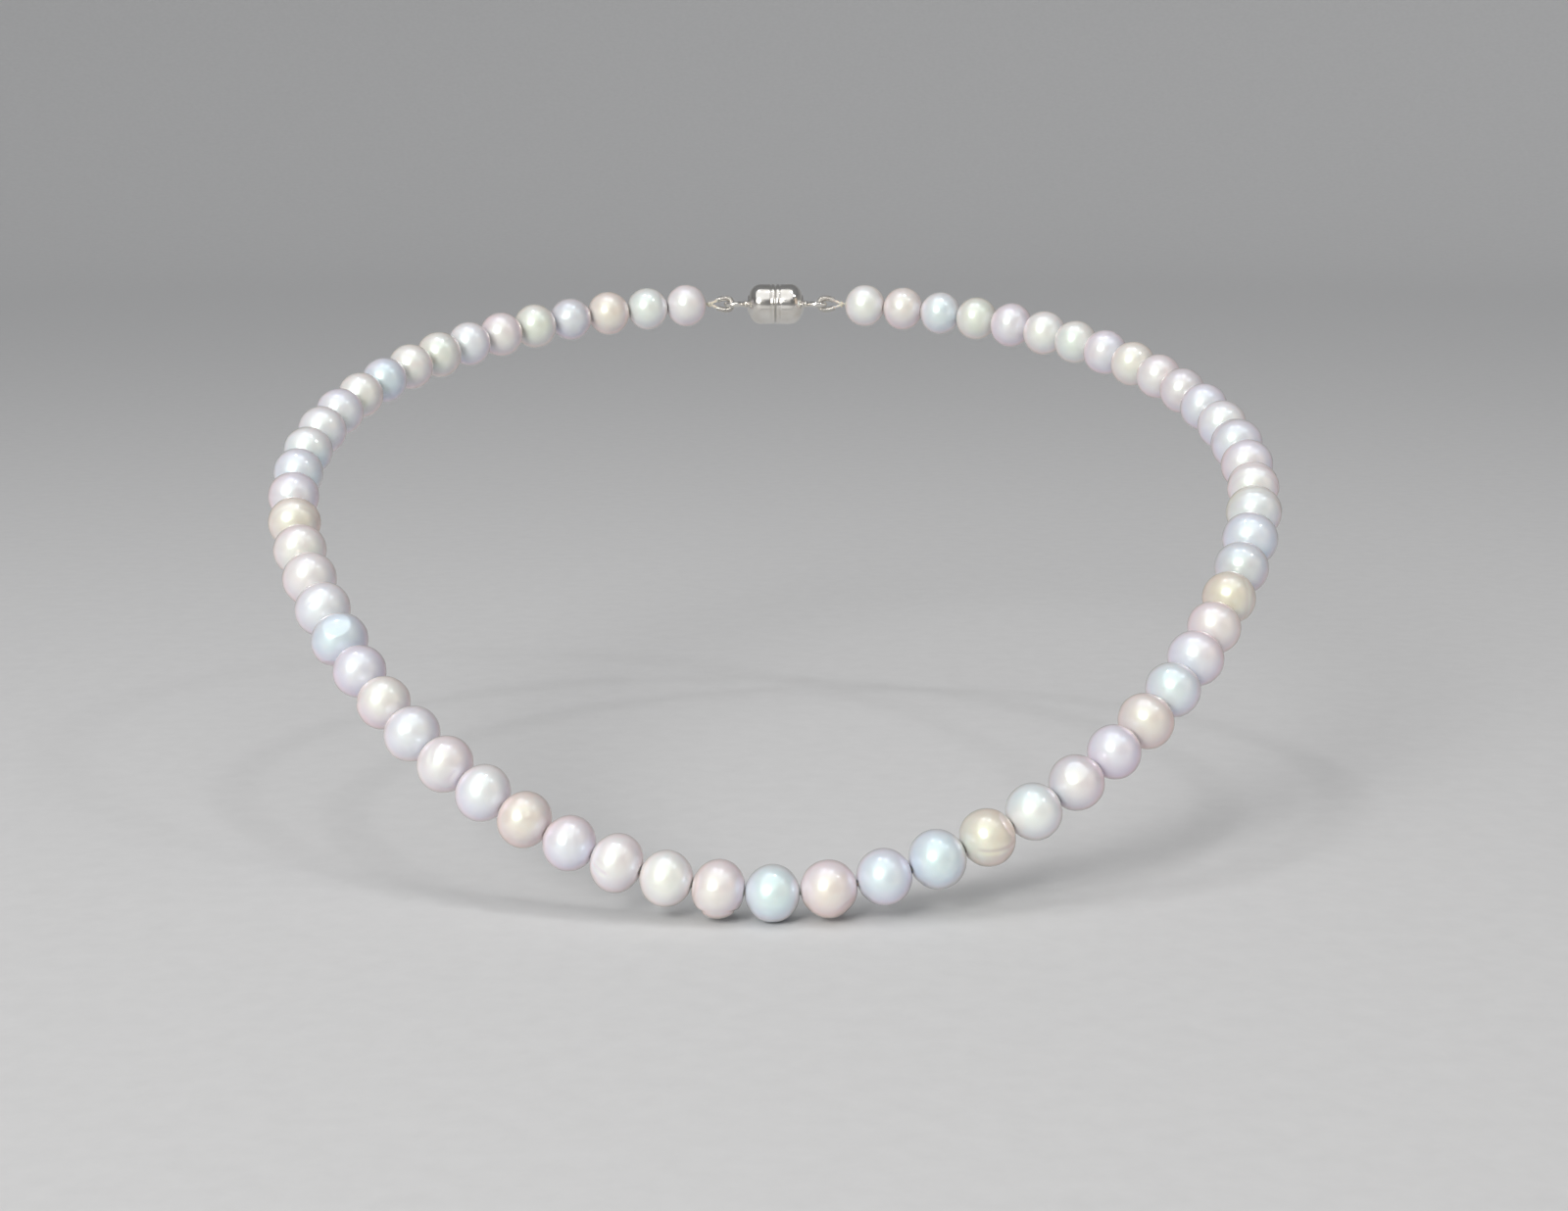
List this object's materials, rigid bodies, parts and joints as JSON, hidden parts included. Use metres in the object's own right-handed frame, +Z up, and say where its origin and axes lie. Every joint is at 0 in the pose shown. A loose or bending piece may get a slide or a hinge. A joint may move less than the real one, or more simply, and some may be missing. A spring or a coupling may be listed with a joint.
{
  "type": "pearl necklace",
  "caption": "Single strand of round cultured pearls on silk thread, shown as worn round a neck, closed behind by a small magnetic clasp.",
  "frame": {"origin": "centre of the front pearl, the lowest of the strand", "axes": "+Z up as worn, +Y from the throat back to the nape, +X to the right of someone facing the wearer; left and right in names are that viewer's"},
  "size_m": [0.1464, 0.1421, 0.0721],
  "materials": {
    "nacre": "lustrous cream nacre with soft pink, blue and green overtones",
    "silk": "matt twisted white silk",
    "gimp_wire": "fine coiled silver wire",
    "magnet_nickel": "satin nickel plate",
    "clasp_silver": "polished rhodium-plated silver"
  },
  "bodies": {
    "front": {"pearl_front": "nacre", "silk_thread": "silk"},
    "pearl_left_01": {"pearl_left_01": "nacre"},
    "pearl_left_02": {"pearl_left_02": "nacre"},
    "pearl_left_03": {"pearl_left_03": "nacre"},
    "pearl_left_04": {"pearl_left_04": "nacre"},
    "pearl_left_05": {"pearl_left_05": "nacre"},
    "pearl_left_06": {"pearl_left_06": "nacre"},
    "pearl_left_07": {"pearl_left_07": "nacre"},
    "pearl_left_08": {"pearl_left_08": "nacre"},
    "pearl_left_09": {"pearl_left_09": "nacre"},
    "pearl_left_10": {"pearl_left_10": "nacre"},
    "pearl_left_11": {"pearl_left_11": "nacre"},
    "pearl_left_12": {"pearl_left_12": "nacre"},
    "pearl_left_13": {"pearl_left_13": "nacre"},
    "pearl_left_14": {"pearl_left_14": "nacre"},
    "pearl_left_15": {"pearl_left_15": "nacre"},
    "pearl_left_16": {"pearl_left_16": "nacre"},
    "pearl_left_17": {"pearl_left_17": "nacre"},
    "pearl_left_18": {"pearl_left_18": "nacre"},
    "pearl_left_19": {"pearl_left_19": "nacre"},
    "pearl_left_20": {"pearl_left_20": "nacre"},
    "pearl_left_21": {"pearl_left_21": "nacre"},
    "pearl_left_22": {"pearl_left_22": "nacre"},
    "nape_left_1": {"pearls_left_nape_1": "nacre"},
    "nape_left_2": {"pearls_left_nape_2": "nacre"},
    "nape_left_3": {"pearls_left_nape_3": "nacre", "gimp_left": "gimp_wire"},
    "clasp_left_eye": {"clasp_left_eye": "clasp_silver"},
    "clasp_left_half": {"clasp_left_cup": "clasp_silver", "clasp_left_magnet": "magnet_nickel"},
    "pearl_right_01": {"pearl_right_01": "nacre"},
    "pearl_right_02": {"pearl_right_02": "nacre"},
    "pearl_right_03": {"pearl_right_03": "nacre"},
    "pearl_right_04": {"pearl_right_04": "nacre"},
    "pearl_right_05": {"pearl_right_05": "nacre"},
    "pearl_right_06": {"pearl_right_06": "nacre"},
    "pearl_right_07": {"pearl_right_07": "nacre"},
    "pearl_right_08": {"pearl_right_08": "nacre"},
    "pearl_right_09": {"pearl_right_09": "nacre"},
    "pearl_right_10": {"pearl_right_10": "nacre"},
    "pearl_right_11": {"pearl_right_11": "nacre"},
    "pearl_right_12": {"pearl_right_12": "nacre"},
    "pearl_right_13": {"pearl_right_13": "nacre"},
    "pearl_right_14": {"pearl_right_14": "nacre"},
    "pearl_right_15": {"pearl_right_15": "nacre"},
    "pearl_right_16": {"pearl_right_16": "nacre"},
    "pearl_right_17": {"pearl_right_17": "nacre"},
    "pearl_right_18": {"pearl_right_18": "nacre"},
    "pearl_right_19": {"pearl_right_19": "nacre"},
    "pearl_right_20": {"pearl_right_20": "nacre"},
    "pearl_right_21": {"pearl_right_21": "nacre"},
    "pearl_right_22": {"pearl_right_22": "nacre"},
    "nape_right_1": {"pearls_right_nape_1": "nacre"},
    "nape_right_2": {"pearls_right_nape_2": "nacre"},
    "nape_right_3": {"pearls_right_nape_3": "nacre", "gimp_right": "gimp_wire"},
    "clasp_right_eye": {"clasp_right_eye": "clasp_silver"},
    "clasp_right_half": {"clasp_right_cup": "clasp_silver", "clasp_right_magnet": "magnet_nickel"}
  },
  "joints": [
    {"name": "strand_left_opens", "type": "hinge", "parent": "front", "child": "pearl_left_01", "pos_m": [-0.00345, 0, 0], "axis": [0, 0, 1], "range_deg": [0, 4.91], "deforming": ["silk_thread"]},
    {"name": "pearl_left_02_bends", "type": "hinge", "parent": "pearl_left_01", "child": "pearl_left_02", "pos_m": [-0.00997, 0.00056, 0.00089], "axis": [0, 0, 1], "range_deg": [0, 4.71]},
    {"name": "pearl_left_03_bends", "type": "hinge", "parent": "pearl_left_02", "child": "pearl_left_03", "pos_m": [-0.01642, 0.00166, 0.0023], "axis": [0, 0, 1], "range_deg": [0, 4.79]},
    {"name": "pearl_left_04_bends", "type": "hinge", "parent": "pearl_left_03", "child": "pearl_left_04", "pos_m": [-0.02247, 0.00321, 0.00412], "axis": [0, 0, 1], "range_deg": [0, 4.86]},
    {"name": "pearl_left_05_bends", "type": "hinge", "parent": "pearl_left_04", "child": "pearl_left_05", "pos_m": [-0.02842, 0.00529, 0.00638], "axis": [0, 0, 1], "range_deg": [0, 5]},
    {"name": "pearl_left_06_bends", "type": "hinge", "parent": "pearl_left_05", "child": "pearl_left_06", "pos_m": [-0.03405, 0.00783, 0.00898], "axis": [0, 0, 1], "range_deg": [0, 5.25]},
    {"name": "pearl_left_07_bends", "type": "hinge", "parent": "pearl_left_06", "child": "pearl_left_07", "pos_m": [-0.03941, 0.01086, 0.01187], "axis": [0, 0, 1], "range_deg": [0, 5.6]},
    {"name": "pearl_left_08_bends", "type": "hinge", "parent": "pearl_left_07", "child": "pearl_left_08", "pos_m": [-0.04436, 0.01434, 0.01496], "axis": [0, 0, 1], "range_deg": [0, 5.92]},
    {"name": "pearl_left_09_bends", "type": "hinge", "parent": "pearl_left_08", "child": "pearl_left_09", "pos_m": [-0.04881, 0.01821, 0.01813], "axis": [0, 0, 1], "range_deg": [0, 6.11]},
    {"name": "pearl_left_10_bends", "type": "hinge", "parent": "pearl_left_09", "child": "pearl_left_10", "pos_m": [-0.0528, 0.02252, 0.02137], "axis": [0, 0, 1], "range_deg": [0, 5.68]},
    {"name": "pearl_left_11_bends", "type": "hinge", "parent": "pearl_left_10", "child": "pearl_left_11", "pos_m": [-0.0564, 0.02726, 0.02466], "axis": [0, 0, 1], "range_deg": [0, 4.94]},
    {"name": "pearl_left_12_bends", "type": "hinge", "parent": "pearl_left_11", "child": "pearl_left_12", "pos_m": [-0.05954, 0.03223, 0.02787], "axis": [0, 0, 1], "range_deg": [0, 4.25]},
    {"name": "pearl_left_13_bends", "type": "hinge", "parent": "pearl_left_12", "child": "pearl_left_13", "pos_m": [-0.06248, 0.03776, 0.03121], "axis": [0, 0, 1], "range_deg": [0, 3.93]},
    {"name": "pearl_left_14_bends", "type": "hinge", "parent": "pearl_left_13", "child": "pearl_left_14", "pos_m": [-0.06505, 0.04353, 0.03446], "axis": [0, 0, 1], "range_deg": [0, 4.53]},
    {"name": "pearl_left_15_bends", "type": "hinge", "parent": "pearl_left_14", "child": "pearl_left_15", "pos_m": [-0.06706, 0.04919, 0.03742], "axis": [0, 0, 1], "range_deg": [0, 5.55]},
    {"name": "pearl_left_16_bends", "type": "hinge", "parent": "pearl_left_15", "child": "pearl_left_16", "pos_m": [-0.06861, 0.05542, 0.04045], "axis": [0, 0, 1], "range_deg": [0, 6.62]},
    {"name": "pearl_left_17_bends", "type": "hinge", "parent": "pearl_left_16", "child": "pearl_left_17", "pos_m": [-0.06941, 0.06159, 0.0432], "axis": [0, 0, 1], "range_deg": [0, 6.95]},
    {"name": "pearl_left_18_bends", "type": "hinge", "parent": "pearl_left_17", "child": "pearl_left_18", "pos_m": [-0.06946, 0.06798, 0.04581], "axis": [0, 0, 1], "range_deg": [0, 6.39]},
    {"name": "pearl_left_19_bends", "type": "hinge", "parent": "pearl_left_18", "child": "pearl_left_19", "pos_m": [-0.06879, 0.0744, 0.04823], "axis": [0, 0, 1], "range_deg": [0, 5.82]},
    {"name": "pearl_left_20_bends", "type": "hinge", "parent": "pearl_left_19", "child": "pearl_left_20", "pos_m": [-0.06744, 0.08088, 0.0505], "axis": [0, 0, 1], "range_deg": [0, 5.38]},
    {"name": "pearl_left_21_bends", "type": "hinge", "parent": "pearl_left_20", "child": "pearl_left_21", "pos_m": [-0.06549, 0.08718, 0.05256], "axis": [0, 0, 1], "range_deg": [0, 5.08]},
    {"name": "pearl_left_22_bends", "type": "hinge", "parent": "pearl_left_21", "child": "pearl_left_22", "pos_m": [-0.06298, 0.09332, 0.05445], "axis": [0, 0, 1], "range_deg": [0, 4.93]},
    {"name": "nape_left_1_bends", "type": "hinge", "parent": "pearl_left_22", "child": "nape_left_1", "pos_m": [-0.05988, 0.09935, 0.0562], "axis": [0, 0, 1], "range_deg": [0, 9.39]},
    {"name": "nape_left_2_bends", "type": "hinge", "parent": "nape_left_1", "child": "nape_left_2", "pos_m": [-0.04784, 0.11558, 0.06044], "axis": [0, 0, 1], "range_deg": [0, 15.79]},
    {"name": "nape_left_3_bends", "type": "hinge", "parent": "nape_left_2", "child": "nape_left_3", "pos_m": [-0.03152, 0.12817, 0.06342], "axis": [0, 0, 1], "range_deg": [0, 18.35]},
    {"name": "clasp_left_swings", "type": "hinge", "parent": "nape_left_3", "child": "clasp_left_eye", "pos_m": [-0.007, 0.135, 0.065], "axis": [0, 0, 1], "range_deg": [0, 19.29]},
    {"name": "clasp_left_swivel", "type": "hinge", "parent": "clasp_left_eye", "child": "clasp_left_half", "pos_m": [-0.004, 0.135, 0.065], "axis": [1, 0, 0], "continuous": true},
    {"name": "strand_right_opens", "type": "hinge", "parent": "front", "child": "pearl_right_01", "pos_m": [0.00345, 0, 0], "axis": [0, 0, -1], "range_deg": [0, 5.12], "deforming": ["silk_thread"]},
    {"name": "pearl_right_02_bends", "type": "hinge", "parent": "pearl_right_01", "child": "pearl_right_02", "pos_m": [0.01055, 0.00064, 0.00099], "axis": [0, 0, -1], "range_deg": [0, 5.04]},
    {"name": "pearl_right_03_bends", "type": "hinge", "parent": "pearl_right_02", "child": "pearl_right_03", "pos_m": [0.01727, 0.00184, 0.00253], "axis": [0, 0, -1], "range_deg": [0, 5.16]},
    {"name": "pearl_right_04_bends", "type": "hinge", "parent": "pearl_right_03", "child": "pearl_right_04", "pos_m": [0.02392, 0.00366, 0.00462], "axis": [0, 0, -1], "range_deg": [0, 5.24]},
    {"name": "pearl_right_05_bends", "type": "hinge", "parent": "pearl_right_04", "child": "pearl_right_05", "pos_m": [0.03005, 0.00596, 0.00709], "axis": [0, 0, -1], "range_deg": [0, 5.31]},
    {"name": "pearl_right_06_bends", "type": "hinge", "parent": "pearl_right_05", "child": "pearl_right_06", "pos_m": [0.03591, 0.0088, 0.00993], "axis": [0, 0, -1], "range_deg": [0, 5.67]},
    {"name": "pearl_right_07_bends", "type": "hinge", "parent": "pearl_right_06", "child": "pearl_right_07", "pos_m": [0.04143, 0.01219, 0.01308], "axis": [0, 0, -1], "range_deg": [0, 5.95]},
    {"name": "pearl_right_08_bends", "type": "hinge", "parent": "pearl_right_07", "child": "pearl_right_08", "pos_m": [0.04628, 0.01591, 0.01628], "axis": [0, 0, -1], "range_deg": [0, 6.11]},
    {"name": "pearl_right_09_bends", "type": "hinge", "parent": "pearl_right_08", "child": "pearl_right_09", "pos_m": [0.05054, 0.01997, 0.01948], "axis": [0, 0, -1], "range_deg": [0, 6.03]},
    {"name": "pearl_right_10_bends", "type": "hinge", "parent": "pearl_right_09", "child": "pearl_right_10", "pos_m": [0.05439, 0.0245, 0.02277], "axis": [0, 0, -1], "range_deg": [0, 5.38]},
    {"name": "pearl_right_11_bends", "type": "hinge", "parent": "pearl_right_10", "child": "pearl_right_11", "pos_m": [0.05776, 0.0293, 0.02601], "axis": [0, 0, -1], "range_deg": [0, 4.58]},
    {"name": "pearl_right_12_bends", "type": "hinge", "parent": "pearl_right_11", "child": "pearl_right_12", "pos_m": [0.06074, 0.03438, 0.0292], "axis": [0, 0, -1], "range_deg": [0, 3.88]},
    {"name": "pearl_right_13_bends", "type": "hinge", "parent": "pearl_right_12", "child": "pearl_right_13", "pos_m": [0.06343, 0.03977, 0.03237], "axis": [0, 0, -1], "range_deg": [0, 4.01]},
    {"name": "pearl_right_14_bends", "type": "hinge", "parent": "pearl_right_13", "child": "pearl_right_14", "pos_m": [0.06586, 0.04562, 0.03558], "axis": [0, 0, -1], "range_deg": [0, 5.01]},
    {"name": "pearl_right_15_bends", "type": "hinge", "parent": "pearl_right_14", "child": "pearl_right_15", "pos_m": [0.06775, 0.05162, 0.03864], "axis": [0, 0, -1], "range_deg": [0, 6.04]},
    {"name": "pearl_right_16_bends", "type": "hinge", "parent": "pearl_right_15", "child": "pearl_right_16", "pos_m": [0.06902, 0.05785, 0.04156], "axis": [0, 0, -1], "range_deg": [0, 6.84]},
    {"name": "pearl_right_17_bends", "type": "hinge", "parent": "pearl_right_16", "child": "pearl_right_17", "pos_m": [0.06952, 0.06399, 0.04421], "axis": [0, 0, -1], "range_deg": [0, 6.58]},
    {"name": "pearl_right_18_bends", "type": "hinge", "parent": "pearl_right_17", "child": "pearl_right_18", "pos_m": [0.06931, 0.07012, 0.04664], "axis": [0, 0, -1], "range_deg": [0, 5.94]},
    {"name": "pearl_right_19_bends", "type": "hinge", "parent": "pearl_right_18", "child": "pearl_right_19", "pos_m": [0.06845, 0.07636, 0.04893], "axis": [0, 0, -1], "range_deg": [0, 5.54]},
    {"name": "pearl_right_20_bends", "type": "hinge", "parent": "pearl_right_19", "child": "pearl_right_20", "pos_m": [0.06693, 0.08272, 0.05112], "axis": [0, 0, -1], "range_deg": [0, 5.25]},
    {"name": "pearl_right_21_bends", "type": "hinge", "parent": "pearl_right_20", "child": "pearl_right_21", "pos_m": [0.06482, 0.08898, 0.05313], "axis": [0, 0, -1], "range_deg": [0, 5.03]},
    {"name": "pearl_right_22_bends", "type": "hinge", "parent": "pearl_right_21", "child": "pearl_right_22", "pos_m": [0.06215, 0.09507, 0.05497], "axis": [0, 0, -1], "range_deg": [0, 4.78]},
    {"name": "nape_right_1_bends", "type": "hinge", "parent": "pearl_right_22", "child": "nape_right_1", "pos_m": [0.05905, 0.10078, 0.05659], "axis": [0, 0, -1], "range_deg": [0, 9.1]},
    {"name": "nape_right_2_bends", "type": "hinge", "parent": "nape_right_1", "child": "nape_right_2", "pos_m": [0.04702, 0.11643, 0.06065], "axis": [0, 0, -1], "range_deg": [0, 15.57]},
    {"name": "nape_right_3_bends", "type": "hinge", "parent": "nape_right_2", "child": "nape_right_3", "pos_m": [0.03099, 0.12845, 0.06349], "axis": [0, 0, -1], "range_deg": [0, 17.84]},
    {"name": "clasp_right_swings", "type": "hinge", "parent": "nape_right_3", "child": "clasp_right_eye", "pos_m": [0.007, 0.135, 0.065], "axis": [0, 0, -1], "range_deg": [0, 19.03]},
    {"name": "clasp_right_swivel", "type": "hinge", "parent": "clasp_right_eye", "child": "clasp_right_half", "pos_m": [0.004, 0.135, 0.065], "axis": [1, 0, 0], "continuous": true}
  ],
  "couplings": [
    {"joint": "pearl_left_02_bends", "follows": "strand_left_opens", "ratio": 0.9586},
    {"joint": "pearl_left_03_bends", "follows": "strand_left_opens", "ratio": 0.9737},
    {"joint": "pearl_left_04_bends", "follows": "strand_left_opens", "ratio": 0.9879},
    {"joint": "pearl_left_05_bends", "follows": "strand_left_opens", "ratio": 1.0176},
    {"joint": "pearl_left_06_bends", "follows": "strand_left_opens", "ratio": 1.0692},
    {"joint": "pearl_left_07_bends", "follows": "strand_left_opens", "ratio": 1.1402},
    {"joint": "pearl_left_08_bends", "follows": "strand_left_opens", "ratio": 1.2046},
    {"joint": "pearl_left_09_bends", "follows": "strand_left_opens", "ratio": 1.2427},
    {"joint": "pearl_left_10_bends", "follows": "strand_left_opens", "ratio": 1.1556},
    {"joint": "pearl_left_11_bends", "follows": "strand_left_opens", "ratio": 1.005},
    {"joint": "pearl_left_12_bends", "follows": "strand_left_opens", "ratio": 0.8654},
    {"joint": "pearl_left_13_bends", "follows": "strand_left_opens", "ratio": 0.799},
    {"joint": "pearl_left_14_bends", "follows": "strand_left_opens", "ratio": 0.922},
    {"joint": "pearl_left_15_bends", "follows": "strand_left_opens", "ratio": 1.1298},
    {"joint": "pearl_left_16_bends", "follows": "strand_left_opens", "ratio": 1.3465},
    {"joint": "pearl_left_17_bends", "follows": "strand_left_opens", "ratio": 1.4151},
    {"joint": "pearl_left_18_bends", "follows": "strand_left_opens", "ratio": 1.2996},
    {"joint": "pearl_left_19_bends", "follows": "strand_left_opens", "ratio": 1.1843},
    {"joint": "pearl_left_20_bends", "follows": "strand_left_opens", "ratio": 1.0952},
    {"joint": "pearl_left_21_bends", "follows": "strand_left_opens", "ratio": 1.0343},
    {"joint": "pearl_left_22_bends", "follows": "strand_left_opens", "ratio": 1.0038},
    {"joint": "nape_left_1_bends", "follows": "strand_left_opens", "ratio": 1.9118},
    {"joint": "nape_left_2_bends", "follows": "strand_left_opens", "ratio": 3.2138},
    {"joint": "nape_left_3_bends", "follows": "strand_left_opens", "ratio": 3.734},
    {"joint": "clasp_left_swings", "follows": "strand_left_opens", "ratio": 3.9265},
    {"joint": "pearl_right_02_bends", "follows": "strand_right_opens", "ratio": 0.9836},
    {"joint": "pearl_right_03_bends", "follows": "strand_right_opens", "ratio": 1.007},
    {"joint": "pearl_right_04_bends", "follows": "strand_right_opens", "ratio": 1.0218},
    {"joint": "pearl_right_05_bends", "follows": "strand_right_opens", "ratio": 1.0365},
    {"joint": "pearl_right_06_bends", "follows": "strand_right_opens", "ratio": 1.1066},
    {"joint": "pearl_right_07_bends", "follows": "strand_right_opens", "ratio": 1.1608},
    {"joint": "pearl_right_08_bends", "follows": "strand_right_opens", "ratio": 1.1927},
    {"joint": "pearl_right_09_bends", "follows": "strand_right_opens", "ratio": 1.1769},
    {"joint": "pearl_right_10_bends", "follows": "strand_right_opens", "ratio": 1.0489},
    {"joint": "pearl_right_11_bends", "follows": "strand_right_opens", "ratio": 0.8941},
    {"joint": "pearl_right_12_bends", "follows": "strand_right_opens", "ratio": 0.7574},
    {"joint": "pearl_right_13_bends", "follows": "strand_right_opens", "ratio": 0.7817},
    {"joint": "pearl_right_14_bends", "follows": "strand_right_opens", "ratio": 0.9781},
    {"joint": "pearl_right_15_bends", "follows": "strand_right_opens", "ratio": 1.1784},
    {"joint": "pearl_right_16_bends", "follows": "strand_right_opens", "ratio": 1.3349},
    {"joint": "pearl_right_17_bends", "follows": "strand_right_opens", "ratio": 1.2844},
    {"joint": "pearl_right_18_bends", "follows": "strand_right_opens", "ratio": 1.1588},
    {"joint": "pearl_right_19_bends", "follows": "strand_right_opens", "ratio": 1.0817},
    {"joint": "pearl_right_20_bends", "follows": "strand_right_opens", "ratio": 1.0246},
    {"joint": "pearl_right_21_bends", "follows": "strand_right_opens", "ratio": 0.9811},
    {"joint": "pearl_right_22_bends", "follows": "strand_right_opens", "ratio": 0.9323},
    {"joint": "nape_right_1_bends", "follows": "strand_right_opens", "ratio": 1.776},
    {"joint": "nape_right_2_bends", "follows": "strand_right_opens", "ratio": 3.038},
    {"joint": "nape_right_3_bends", "follows": "strand_right_opens", "ratio": 3.4828},
    {"joint": "clasp_right_swings", "follows": "strand_right_opens", "ratio": 3.7143}
  ]
}
